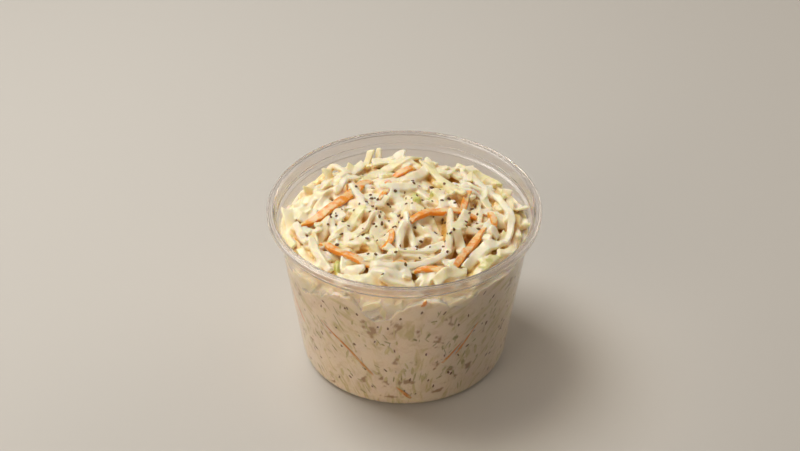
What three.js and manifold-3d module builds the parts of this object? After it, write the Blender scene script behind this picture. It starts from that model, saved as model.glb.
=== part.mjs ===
// A clear plastic deli cup heaped with coleslaw: shredded cabbage and carrot in a thick
// creamy dressing, dusted with cracked black pepper.
// Millimetres, +Z up. The cup stands on z = 0 with its axis on Z, and its front faces -Y.

import * as THREE from "three";
import { mergeVertices } from "three/addons/utils/BufferGeometryUtils.js";
import Module from "manifold-3d";

const { lerp, smoothstep, clamp } = THREE.MathUtils;

// Driving dimensions of the cup
const CUP_HEIGHT = 74;
const RIM_RADIUS = 58.5; // outside of the turned-down lip
const BASE_RADIUS = 45.7; // where the side meets the rounded foot
const SHOULDER_RADIUS = 54; // outside of the side, just under the ledge
const WALL = 0.6;
const FOOT_ROUND = 3.5; // outer radius of the bend from base to side
const LEDGE_DEPTH = 6.7; // from the rim down to the ledge that the lid's plug stops on
const LEDGE_WIDTH = 1.2;
const LIP_DROP = 2; // height of the turned-down edge
const RIM_WIDTH = 3.5; // from the mouth to the outside of the lip
const RIM_ROUND = 0.6; // bends at the mouth and at the lip
const SIDES = 48; // facets round the cup and round the food inside it

// Driving dimensions of the heap
const FILL_GAP = 0.3; // between the food and the cup's inside
const CROWN_DEPTH = 0.8; // top of the bare heap below the rim, with the shreds to come on it
const DOME_DROP = 4.5; // fall from the crown to the shoulder of the heap
const HEAP_RADIUS = 46.5; // shoulder of the heap, at the front and the sides
const BACK_INSET = 5; // the heap stops this much short of that at the back
const FALL_WIDTH = 6; // the slope from the shoulder down to the level beside the wall
const BACK_STEEPNESS = 1.5; // that slope is this much narrower at the back
const EDGE_DEPTH = 10; // level beside the wall, below the rim
const BACK_DIP = 3.5; // that level is this much lower at the back
const EDGE_UNEVEN = 1; // rise and fall of that level round the wall, in long waves
const EDGE_RIPPLE = 0.6; // and in short ones
const LUMP = 0.8; // unevenness of the bare heap
const LUMP_SPACING = 5; // about a sixth of the way from one lump to the next
// Where the food touches the wall lower than that, by degrees round from the front to the right
const EDGE_DIPS = [
  { at: -50, spread: 15, depth: 13 },
  { at: -11, spread: 9, depth: 13 },
  { at: 28, spread: 5, depth: 6 },
];
const RING_SHARES = [0.96, 0.9, 0.83, 0.68, 0.46, 0.22, 0]; // rings of facets, of the radius at the wall

// Driving dimensions of the shreds
const CABBAGE_COUNT = 30;
const CABBAGE_LENGTH = [15, 32];
const CABBAGE_WIDTH = [2.6, 4.4];
const CABBAGE_THICKNESS = 2.3;
const CARROT_COUNT = 5; // small ones, besides those laid on top
const CARROT_LENGTH = [9, 20];
const CARROT_WIDTH = [2.4, 3.2];
const CARROT_THICKNESS = 2.7;
const BOW = 0.22; // sideways bend of a shred, as a share of its length
const SINK = 0.7; // how deep a shred is pressed into what it lies on
const SAG = 0.5; // how far a shred droops between the places that hold it
const STEPS = 5; // straight stretches along a shred
const END_TAPER = 0.35; // how much narrower a shred is at its cut ends
const HEADSPACE_REACH = 44.6; // nothing lies further out than this at the back
const HEADSPACE_ANGLE = 0.5; // half of that back stretch, in radians

// Driving dimensions of the pepper
const PEPPER_COUNT = 40;
const PEPPER_SIZE = [0.55, 0.85]; // half the length of a fleck
const PEPPER_SQUASH = [1, 0.75, 0.7]; // its length, width and height, as shares of that
const PEPPER_SPREAD = 37;
const PEPPER_CROWDING = 0.6; // 0.5 spreads the flecks evenly, more crowds them at the middle

// The shreds that lie on top of the heap, each by its two ends and a point halfway, in plan
const TOP_CABBAGE = [
  { from: [-18.5, 24], via: [-8.5, 32], to: [7, 39.5], width: 4.6 },
  { from: [-28, 19], via: [-24, 24], to: [-19.5, 29], width: 4.2 },
  { from: [-44, 10], via: [-37, 11], to: [-30, 15], width: 4.2 },
  { from: [-1.8, 19], via: [4.7, 23.5], to: [10.5, 30], width: 4.6 },
  { from: [-10.5, 12.8], via: [-3, 13.4], to: [6, 15.5], width: 4 },
  { from: [-10, 0], via: [-16, -12], to: [-23, -19.5], width: 3.8 },
  { from: [26.5, -3], via: [23.5, -12], to: [20.5, -20], width: 4.4 },
  { from: [7, 36], via: [16.9, 20.7], to: [26.5, 9], width: 3.2 },
  { from: [32.3, 24.4], via: [45, 2], to: [41, -20.5], width: 3 },
  { from: [43.3, -17.7], via: [34.6, -23.9], to: [24.8, -35.8], width: 5.2 },
  { from: [25.5, -38], via: [18.5, -41.4], to: [12, -46], width: 4.8 },
  { from: [45, -22], via: [37.3, -29.8], to: [29.2, -40], width: 4.4 },
  { from: [19.5, -3], via: [19, -16], to: [18, -28], width: 3.2 },
  { from: [19, -28], via: [2.3, -38], to: [-13.5, -40], width: 3.2 },
  { from: [-39, -18.5], via: [-35.4, -29.8], to: [-30, -39], width: 3.6 },
  { from: [-43.3, -22.5], via: [-39.2, -30.5], to: [-34, -37], width: 3.2 },
  { from: [-46, -6], via: [-43.6, -14.2], to: [-40.5, -21.5], width: 3.4 },
  { from: [-50, 9], via: [-50, -7], to: [-46.5, -21], width: 3.8 },
];
const TOP_CARROTS = [
  { from: [-45, -8.5], via: [-29.6, 4], to: [-15, 22.5], width: 3.9 },
  { from: [2.5, -12.8], via: [14, -4], to: [30.5, -2.7], width: 3.1 },
  { from: [34, -12], via: [27.1, -24.8], to: [20.5, -36], width: 3.3 },
  { from: [4, -40], via: [11.3, -39.4], to: [17.5, -42], width: 3.8 },
  { from: [-35, -19.8], via: [-24.3, -30.6], to: [-13, -40], width: 3.4 },
  { from: [-4.5, 25.6], via: [0, 28.4], to: [5, 31], width: 2.8 },
];
// The shreds that stand against the back wall, each by its foot and its tip
const LEANING_CABBAGE = [
  { foot: [-18.5, 42, -13], tip: [-15, 49.4, -5.4], width: 3.4 },
  { foot: [-12.5, 43, -13], tip: [-11.2, 50.3, -4.6], width: 3 },
];

const PLASTIC = { color: 0xf1ece6, roughness: 0.1, metalness: 0, transparent: true, opacity: 0.3 };
const DRESSED_CABBAGE = { color: 0xf1e6c8, roughness: 0.35, metalness: 0 };

const wasm = await Module();
wasm.setup();

// A turn of this much from each thing to the next spreads any number of them evenly over a disc
const GOLDEN_ANGLE = Math.PI * (3 - Math.sqrt(5));

// Repeatable draws, so that the heap is the same each time
let seed = 20417;
function draw(low, high) {
  seed = (seed * 16807) % 2147483647;
  return low + ((high - low) * seed) / 2147483647;
}

// A closed geometry as a solid that can be joined to others.
function solid(geometry) {
  const bare = geometry.clone();
  bare.deleteAttribute("normal");
  bare.deleteAttribute("uv");
  const merged = mergeVertices(bare, 1e-4);
  const corners = merged.index.array;
  const kept = [];
  for (let i = 0; i < corners.length; i += 3) {
    const [a, b, c] = corners.slice(i, i + 3);
    if (a !== b && b !== c && c !== a) kept.push(a, b, c);
  }
  return new wasm.Manifold(
    new wasm.Mesh({
      numProp: 3,
      vertProperties: merged.attributes.position.array,
      triVerts: new Uint32Array(kept),
    }),
  );
}

function geometryOf(made) {
  const mesh = made.getMesh();
  const geometry = new THREE.BufferGeometry();
  geometry.setAttribute("position", new THREE.BufferAttribute(mesh.vertProperties, 3));
  geometry.setIndex(new THREE.BufferAttribute(mesh.triVerts, 1));
  geometry.computeVertexNormals();
  return geometry;
}

// Joins pieces into one body: loose scraps are dropped and sealed hollows are filled.
function fused(pieces) {
  const joined = pieces.reduce((all, piece) => all.add(piece));
  return joined.decompose().reduce((best, body) => (body.volume() > best.volume() ? body : best));
}

// Turns a profile of radius and height about Z.
function turned(points) {
  return new THREE.LatheGeometry(points, SIDES).rotateX(Math.PI / 2);
}

// The side runs straight from the foot to the ledge, so its radius follows from the height.
const LEDGE_HEIGHT = CUP_HEIGHT - LEDGE_DEPTH;
const SIDE_SLOPE = (SHOULDER_RADIUS - BASE_RADIUS) / (LEDGE_HEIGHT - FOOT_ROUND);
function insideRadius(height) {
  return BASE_RADIUS - WALL + SIDE_SLOPE * (height - FOOT_ROUND);
}

// A quarter bend of the foot, from the flat base up to the side.
function footBend(path, radius, round, floor) {
  path.lineTo(radius - round, floor);
  path.absarc(radius - round, floor + round, round, -Math.PI / 2, 0);
}

// One thin shell: flat base, rounded foot, tapered side, ledge, upright lid band, flat rim
// and turned-down lip.
function cup() {
  const mouth = RIM_RADIUS - RIM_WIDTH;
  const bandRadius = SHOULDER_RADIUS + LEDGE_WIDTH;
  const outside = new THREE.Path();
  outside.moveTo(0, 0);
  footBend(outside, BASE_RADIUS, FOOT_ROUND, 0);
  outside.lineTo(SHOULDER_RADIUS, LEDGE_HEIGHT - WALL);
  outside.lineTo(bandRadius, LEDGE_HEIGHT);
  outside.lineTo(mouth + WALL, CUP_HEIGHT - WALL);
  outside.lineTo(RIM_RADIUS - WALL, CUP_HEIGHT - WALL);
  outside.lineTo(RIM_RADIUS - WALL, CUP_HEIGHT - LIP_DROP);
  outside.lineTo(RIM_RADIUS, CUP_HEIGHT - LIP_DROP);
  const lipBend = RIM_RADIUS - RIM_ROUND;
  outside.absarc(lipBend, CUP_HEIGHT - RIM_ROUND, RIM_ROUND, 0, Math.PI / 2);
  const mouthBend = mouth + RIM_ROUND;
  outside.absarc(mouthBend, CUP_HEIGHT - RIM_ROUND, RIM_ROUND, Math.PI / 2, Math.PI);
  const inside = new THREE.Path();
  inside.moveTo(0, WALL);
  footBend(inside, BASE_RADIUS - WALL, FOOT_ROUND - WALL, WALL);
  inside.lineTo(SHOULDER_RADIUS - WALL, LEDGE_HEIGHT);
  inside.lineTo(bandRadius - WALL, LEDGE_HEIGHT + WALL);
  return turned([...outside.getPoints(2), ...inside.getPoints(2).reverse()]);
}

// Share of the way round to the back of the cup: 0 at the front and the sides, 1 at the back.
function backness(angle) {
  return Math.max(0, Math.sin(angle));
}

// Level of the food beside the wall.
function edgeLevel(angle) {
  const uneven = EDGE_UNEVEN * Math.sin(3 * angle + 0.6) + EDGE_RIPPLE * Math.sin(8 * angle + 2);
  return CUP_HEIGHT - EDGE_DEPTH - BACK_DIP * backness(angle) + uneven;
}

// Level where the food touches the wall: below it in the dips, with a narrow gap above.
function touchLevel(angle) {
  const round = THREE.MathUtils.radToDeg(angle) + 90;
  const dip = EDGE_DIPS.reduce(
    (sum, { at, spread, depth }) => sum + depth * Math.exp(-(((round - at) / spread) ** 2) / 2),
    0,
  );
  return edgeLevel(angle) - dip;
}

// Top of the bare heap: a low dome that falls away to the level beside the wall.
function heapHeight(x, y) {
  const angle = Math.atan2(y, x);
  const radius = Math.hypot(x, y);
  const shoulder = HEAP_RADIUS - BACK_INSET * backness(angle);
  const fall = smoothstep(radius, shoulder, shoulder + FALL_WIDTH - BACK_STEEPNESS * backness(angle));
  const lump = LUMP * Math.sin(x / LUMP_SPACING) * Math.cos(y / LUMP_SPACING + 1);
  const dome = CUP_HEIGHT - CROWN_DEPTH - DOME_DROP * (radius / HEAP_RADIUS) ** 2 + lump;
  return lerp(dome, edgeLevel(angle), fall);
}

// The packed food under the shreds: it fills the cup to a gap from the wall, and its top is the heap.
function core() {
  const profile = new THREE.Path();
  const floor = WALL + FILL_GAP;
  profile.moveTo(0, floor);
  footBend(profile, BASE_RADIUS - floor, FOOT_ROUND - floor, floor);
  const points = profile.getPoints(2);
  const rings = [1, ...RING_SHARES];
  const firstRing = points.length;
  points.push(...rings.map((share) => new THREE.Vector2(share * BASE_RADIUS, CUP_HEIGHT)));
  const geometry = turned(points);
  const place = geometry.attributes.position;
  for (let i = 0; i < place.count; i++) {
    const ring = (i % points.length) - firstRing;
    if (ring < 0) continue;
    const angle = Math.atan2(place.getY(i), place.getX(i));
    const touches = ring === 0;
    const radius = rings[ring] * (insideRadius(touches ? touchLevel(angle) : edgeLevel(angle)) - FILL_GAP);
    const x = radius * Math.cos(angle);
    const y = radius * Math.sin(angle);
    place.setXYZ(i, x, y, touches ? touchLevel(angle) : heapHeight(x, y));
  }
  return geometry;
}

// Height of the heap as it grows, in square cells over the cup's mouth
const CELL = 1;
const CELLS = 112;
const surface = new Float64Array(CELLS * CELLS);
function cellAt(x, y) {
  const column = clamp(Math.floor(x / CELL + CELLS / 2), 0, CELLS - 1);
  const row = clamp(Math.floor(y / CELL + CELLS / 2), 0, CELLS - 1);
  return row * CELLS + column;
}
function startSurface() {
  for (let row = 0; row < CELLS; row++)
    for (let column = 0; column < CELLS; column++) {
      const x = (column + 0.5 - CELLS / 2) * CELL;
      const y = (row + 0.5 - CELLS / 2) * CELL;
      surface[row * CELLS + column] = heapHeight(x, y);
    }
}

// Raises the heap to the top of a shred at one point along its middle.
function raise(point, half, above) {
  for (let dx = -half; dx <= half; dx += CELL / 2)
    for (let dy = -half; dy <= half; dy += CELL / 2) {
      if (Math.hypot(dx, dy) > half) continue;
      const cell = cellAt(point.x + dx, point.y + dy);
      surface[cell] = Math.max(surface[cell], point.z + above);
    }
}

// How far from the axis the middle of a shred may lie, so that it stays clear of the flat facets of the wall.
function reach(spot, width) {
  const wall = insideRadius(CUP_HEIGHT - EDGE_DEPTH - BACK_DIP) * Math.cos(Math.PI / SIDES);
  const back = Math.abs(spot.angle() - Math.PI / 2) < HEADSPACE_ANGLE;
  return (back ? HEADSPACE_REACH : wall - FILL_GAP) - width / 2;
}

// Lays a shred on the heap as it stands: it rests on what is under it, bridges the dips,
// and raises the heap for the next one. Returns the line along its middle.
function lay({ from, via, to, width }, thickness) {
  const bend = [0, 1].map((k) => 2 * via[k] - (from[k] + to[k]) / 2);
  const plan = new THREE.QuadraticBezierCurve(
    new THREE.Vector2(...from),
    new THREE.Vector2(...bend),
    new THREE.Vector2(...to),
  );
  const spots = plan.getPoints(STEPS).map((spot) => spot.clampLength(0, reach(spot, width)));
  const ground = spots.map((spot, i) => {
    const along = spots[Math.min(i + 1, STEPS)].clone().sub(spots[Math.max(i - 1, 0)]).normalize();
    const across = [-width / 3, 0, width / 3];
    const heights = across.map((off) => surface[cellAt(spot.x - along.y * off, spot.y + along.x * off)]);
    return heights.reduce((sum, height) => sum + height) / heights.length;
  });
  const rest = [...ground];
  for (let pass = 0; pass < STEPS; pass++)
    for (let i = 1; i < STEPS; i++) rest[i] = Math.max(ground[i], (rest[i - 1] + rest[i + 1]) / 2 - SAG);
  const middle = new THREE.CatmullRomCurve3(
    spots.map((spot, i) => new THREE.Vector3(spot.x, spot.y, rest[i] + thickness / 2 - SINK)),
  );
  const points = middle.getPoints(Math.ceil(middle.getLength() / CELL));
  for (const point of points) raise(point, width / 2, thickness / 2);
  return middle;
}

// A strip of that width and thickness along a line, narrowed at its cut ends.
function strip(middle, width, thickness) {
  const geometry = new THREE.BoxGeometry(1, 1, 1, STEPS, 1, 1);
  const place = geometry.attributes.position;
  const up = new THREE.Vector3(0, 0, 1);
  for (let i = 0; i < place.count; i++) {
    const share = place.getX(i) + 0.5;
    const along = middle.getTangent(share);
    const side = up.clone().cross(along).normalize();
    const over = along.clone().cross(side);
    const taper = 1 - END_TAPER * Math.abs(2 * share - 1) ** 4;
    const point = middle
      .getPoint(share)
      .addScaledVector(side, place.getY(i) * width * taper)
      .addScaledVector(over, place.getZ(i) * thickness * taper);
    place.setXYZ(i, point.x, point.y, point.z);
  }
  return geometry;
}

// The place of one shred out of many, spread evenly over the heap, with its way, length and bow drawn.
function scattered(index, count, lengths, widths) {
  const radius = (HEAP_RADIUS + 2) * Math.sqrt((index + 0.5) / count);
  const angle = index * GOLDEN_ANGLE;
  const heading = draw(0, Math.PI);
  const length = draw(...lengths);
  const width = draw(...widths);
  const bow = length * draw(-BOW, BOW);
  const middle = [radius * Math.cos(angle), radius * Math.sin(angle)];
  const way = [Math.cos(heading), Math.sin(heading)];
  const end = (share) => middle.map((value, k) => value + way[k] * length * share);
  const via = [middle[0] - way[1] * bow, middle[1] + way[0] * bow];
  return { from: end(-0.5), via, to: end(0.5), width };
}

// The shreds from the bottom of the pile to the top.
function shreds() {
  const made = [];
  const add = (shred, thickness) => made.push(strip(lay(shred, thickness), shred.width, thickness));
  for (let i = 0; i < CABBAGE_COUNT; i++)
    add(scattered(i, CABBAGE_COUNT, CABBAGE_LENGTH, CABBAGE_WIDTH), CABBAGE_THICKNESS);
  for (let i = 0; i < CARROT_COUNT; i++)
    add(scattered(i, CARROT_COUNT, CARROT_LENGTH, CARROT_WIDTH), CARROT_THICKNESS);
  for (const shred of TOP_CARROTS) add(shred, CARROT_THICKNESS);
  for (const shred of TOP_CABBAGE) add(shred, CABBAGE_THICKNESS);
  return made;
}

function leaningShreds() {
  return LEANING_CABBAGE.map(({ foot, tip, width }) => {
    const [low, high] = [foot, tip].map(([x, y, rise]) => new THREE.Vector3(x, y, CUP_HEIGHT + rise));
    return strip(new THREE.LineCurve3(low, high), width, CABBAGE_THICKNESS / 2);
  });
}

// Cracked pepper, thickest over the middle, each fleck half sunk in what it fell on.
function pepper(heap) {
  const target = new THREE.Mesh(geometryOf(heap));
  const ray = new THREE.Raycaster();
  const made = [];
  for (let i = 0; i < PEPPER_COUNT; i++) {
    const radius = PEPPER_SPREAD * ((i + 0.5) / PEPPER_COUNT) ** PEPPER_CROWDING;
    const angle = i * GOLDEN_ANGLE + draw(-0.5, 0.5);
    const size = draw(...PEPPER_SIZE);
    const turn = draw(0, Math.PI);
    const above = new THREE.Vector3(radius * Math.cos(angle), radius * Math.sin(angle), 2 * CUP_HEIGHT);
    ray.set(above, new THREE.Vector3(0, 0, -1));
    const { point } = ray.intersectObject(target)[0];
    const fleck = new THREE.OctahedronGeometry(size).scale(...PEPPER_SQUASH).rotateZ(turn);
    made.push(fleck.translate(...point));
  }
  return made;
}

function coleslaw() {
  startSurface();
  const heap = fused([core(), ...shreds(), ...leaningShreds()].map(solid));
  return geometryOf(fused([heap, ...pepper(heap).map(solid)]));
}

function piece(name, geometry, finish) {
  const mesh = new THREE.Mesh(geometry, new THREE.MeshStandardMaterial(finish));
  mesh.name = name;
  return mesh;
}

const cupOfColeslaw = new THREE.Group();
cupOfColeslaw.add(piece("cup", cup(), PLASTIC), piece("coleslaw", coleslaw(), DRESSED_CABBAGE));

export default cupOfColeslaw;
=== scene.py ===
import math

import bpy
import numpy as np
from mathutils import Matrix, Vector, kdtree
from mathutils.bvhtree import BVHTree


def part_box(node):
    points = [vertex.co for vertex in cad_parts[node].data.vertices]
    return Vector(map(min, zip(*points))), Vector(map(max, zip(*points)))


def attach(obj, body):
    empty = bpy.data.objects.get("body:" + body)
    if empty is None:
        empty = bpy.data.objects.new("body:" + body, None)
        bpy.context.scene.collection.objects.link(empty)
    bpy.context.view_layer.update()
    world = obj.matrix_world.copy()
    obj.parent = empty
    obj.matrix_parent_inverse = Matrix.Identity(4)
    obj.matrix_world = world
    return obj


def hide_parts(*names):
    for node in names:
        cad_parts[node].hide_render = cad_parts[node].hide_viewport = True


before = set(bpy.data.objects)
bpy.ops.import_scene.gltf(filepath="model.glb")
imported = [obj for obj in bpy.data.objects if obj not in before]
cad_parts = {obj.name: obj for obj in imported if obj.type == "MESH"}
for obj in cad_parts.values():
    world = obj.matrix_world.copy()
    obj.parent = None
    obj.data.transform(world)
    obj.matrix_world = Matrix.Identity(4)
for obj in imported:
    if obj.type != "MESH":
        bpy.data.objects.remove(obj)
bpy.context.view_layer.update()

# The cup: a round tub of clear polypropylene, injection moulded in one thin wall. Its tapered side ends
# in a ledge for the lid's plug, an upright lid band, and a flat grooved rim with a turned-down lip.
MM = 0.001
CUP_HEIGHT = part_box("cup")[1][2] / MM
RIM_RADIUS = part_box("cup")[1][0] / MM
BASE_RADIUS = 45.7
SHOULDER_RADIUS = 54
WALL = 0.6
FOOT_ROUND = 3.5
SIDE_TURN = -7
LEDGE_DEPTH = 6.7
LEDGE_WIDTH = 1.2
LEDGE_ROUND = 0.35
LEDGE_CORNER = 0.15
LEDGE_SLOPE = (0.3, 0.25)
LEDGE_FOOT = 0.1
LIP_DROP = 2
LIP_BEND = 0.3
RIM_WIDTH = 3.5
RIM_ROUND = 0.6
# Grooves in the rim by radius, half width and depth
GROOVES = [(57.25, 0.6, 0.2), (56.1, 0.45, 0.14)]
PLUG_BEAD_RISE = 1.5
PLUG_BEAD = 0.28
HOLD = 0.3
CUP_SIDES = 480
LEDGE_HEIGHT = CUP_HEIGHT - LEDGE_DEPTH
SIDE_SLOPE = (SHOULDER_RADIUS - BASE_RADIUS) / (LEDGE_HEIGHT - FOOT_ROUND)


def inside_radius(height):
    """Radius of the cup's inside face at a height on the tapered side."""
    return BASE_RADIUS - WALL + SIDE_SLOPE * (height - FOOT_ROUND)


def bend(centre, radius, start, end, steps=6):
    """Points of radius and height along an arc, its angles in degrees."""
    turns = np.radians(np.linspace(start, end, steps + 1))
    return [(centre[0] + radius * np.cos(turn), centre[1] + radius * np.sin(turn)) for turn in turns]


def held(profile):
    """A profile with points added near the ends of its long runs, so that these are shaded flat."""
    points = [profile[0]]
    for start, end in zip(profile, profile[1:]):
        length = math.dist(start, end)
        for along in (HOLD, length - HOLD) if length > 4 * HOLD else ():
            points.append(tuple(np.add(start, np.subtract(end, start) * along / length)))
        points.append(end)
    return points


def around(radius, angle, height):
    """Points at radii, angles and heights about the cup's axis."""
    return np.stack(np.broadcast_arrays(radius * np.cos(angle), radius * np.sin(angle), height), -1)


def turned(profile, sides):
    """Points and faces of a profile that starts and ends on the axis, turned about Z."""
    radii, heights = np.array(profile[1:-1]).T[..., None]
    rings = around(radii, np.arange(sides) * 2 * np.pi / sides, heights)
    points = np.vstack([rings.reshape(-1, 3), [(0, 0, profile[0][1]), (0, 0, profile[-1][1])]])
    here = np.arange(sides)
    after = (here + 1) % sides
    first, last = len(points) - 2, len(points) - 1
    top = (len(radii) - 1) * sides
    faces = [(first, after[i], here[i]) for i in range(sides)]
    for ring in range(len(radii) - 1):
        low, high = ring * sides, (ring + 1) * sides
        faces += list(zip(low + here, low + after, high + after, high + here))
    faces += [(last, top + here[i], top + after[i]) for i in range(sides)]
    return points, [tuple(int(corner) for corner in face) for face in faces]


def new_piece(name, points, faces):
    """A smooth-shaded mesh object from points in millimetres."""
    mesh = bpy.data.meshes.new(name)
    mesh.from_pydata((np.asarray(points) * MM).tolist(), [], faces)
    mesh.shade_smooth()
    piece = bpy.data.objects.new(name, mesh)
    bpy.context.scene.collection.objects.link(piece)
    return piece


mouth = RIM_RADIUS - RIM_WIDTH
band = SHOULDER_RADIUS + LEDGE_WIDTH
outside = [(0, 0)]
outside += bend((BASE_RADIUS - FOOT_ROUND, FOOT_ROUND), FOOT_ROUND, -90, SIDE_TURN, 10)
outside += [(SHOULDER_RADIUS, LEDGE_HEIGHT - WALL - LEDGE_ROUND)]
outside += bend((band - LEDGE_ROUND, LEDGE_HEIGHT), LEDGE_ROUND, -60, 0)
outside += [(mouth + WALL, CUP_HEIGHT - WALL - LIP_BEND), (mouth + WALL + LIP_BEND, CUP_HEIGHT - WALL)]
outside += bend((RIM_RADIUS - WALL - LIP_BEND, CUP_HEIGHT - WALL - LIP_BEND), LIP_BEND, 90, 0, 4)
outside += bend((RIM_RADIUS - WALL / 2, CUP_HEIGHT - LIP_DROP + WALL / 2), WALL / 2, 180, 360)
outside += bend((RIM_RADIUS - RIM_ROUND, CUP_HEIGHT - RIM_ROUND), RIM_ROUND, 0, 90)
for groove, half, depth in GROOVES:
    outside += [
        (groove - half * across, CUP_HEIGHT - depth * (1 + np.cos(np.pi * across)) / 2)
        for across in np.linspace(-1, 1, 13)
    ]
outside += bend((mouth + RIM_ROUND, CUP_HEIGHT - RIM_ROUND), RIM_ROUND, 90, 180)
inside = bend((band - WALL, LEDGE_HEIGHT + WALL + PLUG_BEAD_RISE), PLUG_BEAD, 90, 270, 8)
inside += [(band - WALL, LEDGE_HEIGHT + WALL + LEDGE_ROUND)]
inside += [(band - WALL - LEDGE_CORNER, LEDGE_HEIGHT + WALL)]
inside += [(SHOULDER_RADIUS - WALL + LEDGE_SLOPE[0], LEDGE_HEIGHT + LEDGE_SLOPE[1])]
inside += [(SHOULDER_RADIUS - WALL, LEDGE_HEIGHT - LEDGE_FOOT)]
inside += bend((BASE_RADIUS - FOOT_ROUND, FOOT_ROUND), FOOT_ROUND - WALL, SIDE_TURN, -90, 10)
inside += [(0, WALL)]
cup = new_piece("clear_cup", *turned(held(outside + inside), CUP_SIDES))
cup.data.set_sharp_from_angle(angle=math.radians(50))
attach(cup, "root")
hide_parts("cup")


def linear(hex_colour):
    """An sRGB hex value as the linear colour that shaders take."""
    channels = [int(hex_colour[i : i + 2], 16) / 255 for i in (1, 3, 5)]
    return [c / 12.92 if c <= 0.04045 else ((c + 0.055) / 1.055) ** 2.4 for c in channels] + [1]


def add_node(material, kind, values=None, links=None, **settings):
    """Adds a node with its settings, its input values and its links."""
    made = material.node_tree.nodes.new(kind)
    for name, value in settings.items():
        setattr(made, name, value)
    for socket, value in (values or {}).items():
        made.inputs[socket].default_value = value
    for socket, output in (links or {}).items():
        material.node_tree.links.new(output, made.inputs[socket])
    return made


def new_material(name):
    """An empty node material."""
    material = bpy.data.materials.new(name)
    material.use_nodes = True
    material.node_tree.nodes.clear()
    return material


# Clear polypropylene from a polished mould: glossy and nearly clear, with the faint lilac-grey milkiness
# of the plastic and cloudier streaks where the melt ran up the wall. Light shines through the thin wall.
CLOUD_MM = 12
polypropylene = new_material("clear_polypropylene")
place = add_node(polypropylene, "ShaderNodeTexCoord")
stretch = add_node(
    polypropylene, "ShaderNodeMapping", {"Scale": (1, 1, 0.25)}, {"Vector": place.outputs["Object"]}
)
cloud = add_node(
    polypropylene,
    "ShaderNodeTexNoise",
    {"Scale": 1 / (CLOUD_MM * MM), "Detail": 2},
    {"Vector": stretch.outputs["Vector"]},
)
gloss = add_node(
    polypropylene, "ShaderNodeMapRange", {"To Min": 0.14, "To Max": 0.2}, {"Value": cloud.outputs["Fac"]}
)
plastic = add_node(
    polypropylene,
    "ShaderNodeBsdfPrincipled",
    {"Base Color": linear("#F1EDEC"), "IOR": 1.49, "Transmission Weight": 0.93},
    {"Roughness": gloss.outputs["Result"]},
)
passing = add_node(polypropylene, "ShaderNodeBsdfTransparent", {"Color": linear("#F6F2EC")})
ray = add_node(polypropylene, "ShaderNodeLightPath")
thin_wall = add_node(
    polypropylene,
    "ShaderNodeMixShader",
    {},
    {0: ray.outputs["Is Shadow Ray"], 1: plastic.outputs["BSDF"], 2: passing.outputs["BSDF"]},
)
add_node(polypropylene, "ShaderNodeOutputMaterial", {}, {"Surface": thin_wall.outputs["Shader"]})
cup.data.materials.append(polypropylene)

# The imported slaw: what fills the cup below the heap, pressed against the plastic as one wet cream face.
# It leaves the wall lower in a few places, with a ragged edge, and has painted shade where pockets were
# left.
EDGE_DEPTH = 10.5
BACK_DIP = 3.5
EDGE_UNEVEN = 1
EDGE_RIPPLE = 0.6
EDGE_DIPS = [(-54, 12, 11), (-11, 8, 12), (28, 5, 6)]
# Lobes of the edge by number round the cup, height and phase
EDGE_LOBES = [(11, 2, 0.4), (19, 1.4, 2.1), (31, 1.2, 4), (53, 0.9, 1), (83, 0.6, 3)]
LOBE_MEAN = 0.7
LOBE_LEAST = 0.35
LOBE_DIP = 3
PRESS = 0.25
POCKET_MM = 7
POCKET_STRETCH = 0.7
POCKET_RAGGED = (0.5, 0.3)
POCKET_RISE = (2, 2.6)
POCKET_EDGE = (0.7, 1.15)
# The larger air pockets, shown only as painted shade, by degrees from the front, height, half width and
# half height
POCKETS = [(-15, 45, 1.6, 3.4), (-19, 49, 1.4, 2), (-3, 50, 1.6, 2), (-5, 46, 1.3, 1.5), (-9, 55, 1.4, 1.2)]
POCKETS += [(2, 16, 2.4, 1.4), (19, 8, 3, 1), (-22, 14, 1.3, 2), (-7, 6, 3.6, 0.7), (24, 20, 1.5, 1.2)]
SWELL_WAVES = 24
draws = np.random.default_rng(20417)


def smooth_step(value, low, high):
    """0 below low, 1 above high, and an even rise between them."""
    share = np.clip((value - low) / (high - low), 0, 1)
    return share * share * (3 - 2 * share)


def turn_between(angle, other):
    """Signed angle from one direction to another, within half a turn."""
    return (angle - other + np.pi) % (2 * np.pi) - np.pi


def swell(points, size):
    """Smooth random swells over points, of about one in height and a size in millimetres."""
    ways = draws.normal(size=(3, SWELL_WAVES))
    ways *= 2 * np.pi / (size * draws.uniform(0.7, 1.5, SWELL_WAVES) * np.linalg.norm(ways, axis=0))
    waves = np.sin(points @ ways + draws.uniform(0, 2 * np.pi, SWELL_WAVES))
    return waves.sum(axis=-1) * math.sqrt(2 / SWELL_WAVES)


def backness(angle):
    """Share of the way round to the back: 0 at the front and the sides, 1 at the back."""
    return np.maximum(0, np.sin(angle))


def edge_level(angle):
    """Level of the food beside the wall."""
    uneven = EDGE_UNEVEN * np.sin(3 * angle + 0.6) + EDGE_RIPPLE * np.sin(8 * angle + 2)
    return CUP_HEIGHT - EDGE_DEPTH - BACK_DIP * backness(angle) + uneven


def touch_level(angle):
    """Level where the food touches the wall, lower in the dips."""
    from_front = np.degrees(turn_between(angle, -np.pi / 2))
    dip = sum(depth * np.exp(-(((from_front - at) / width) ** 2) / 2) for at, width, depth in EDGE_DIPS)
    lobe = sum(
        rise * (np.abs(np.sin(count * angle / 2 + phase)) - LOBE_MEAN) for count, rise, phase in EDGE_LOBES
    )
    return edge_level(angle) - dip + lobe * np.minimum(1, dip / LOBE_DIP + LOBE_LEAST)


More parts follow.
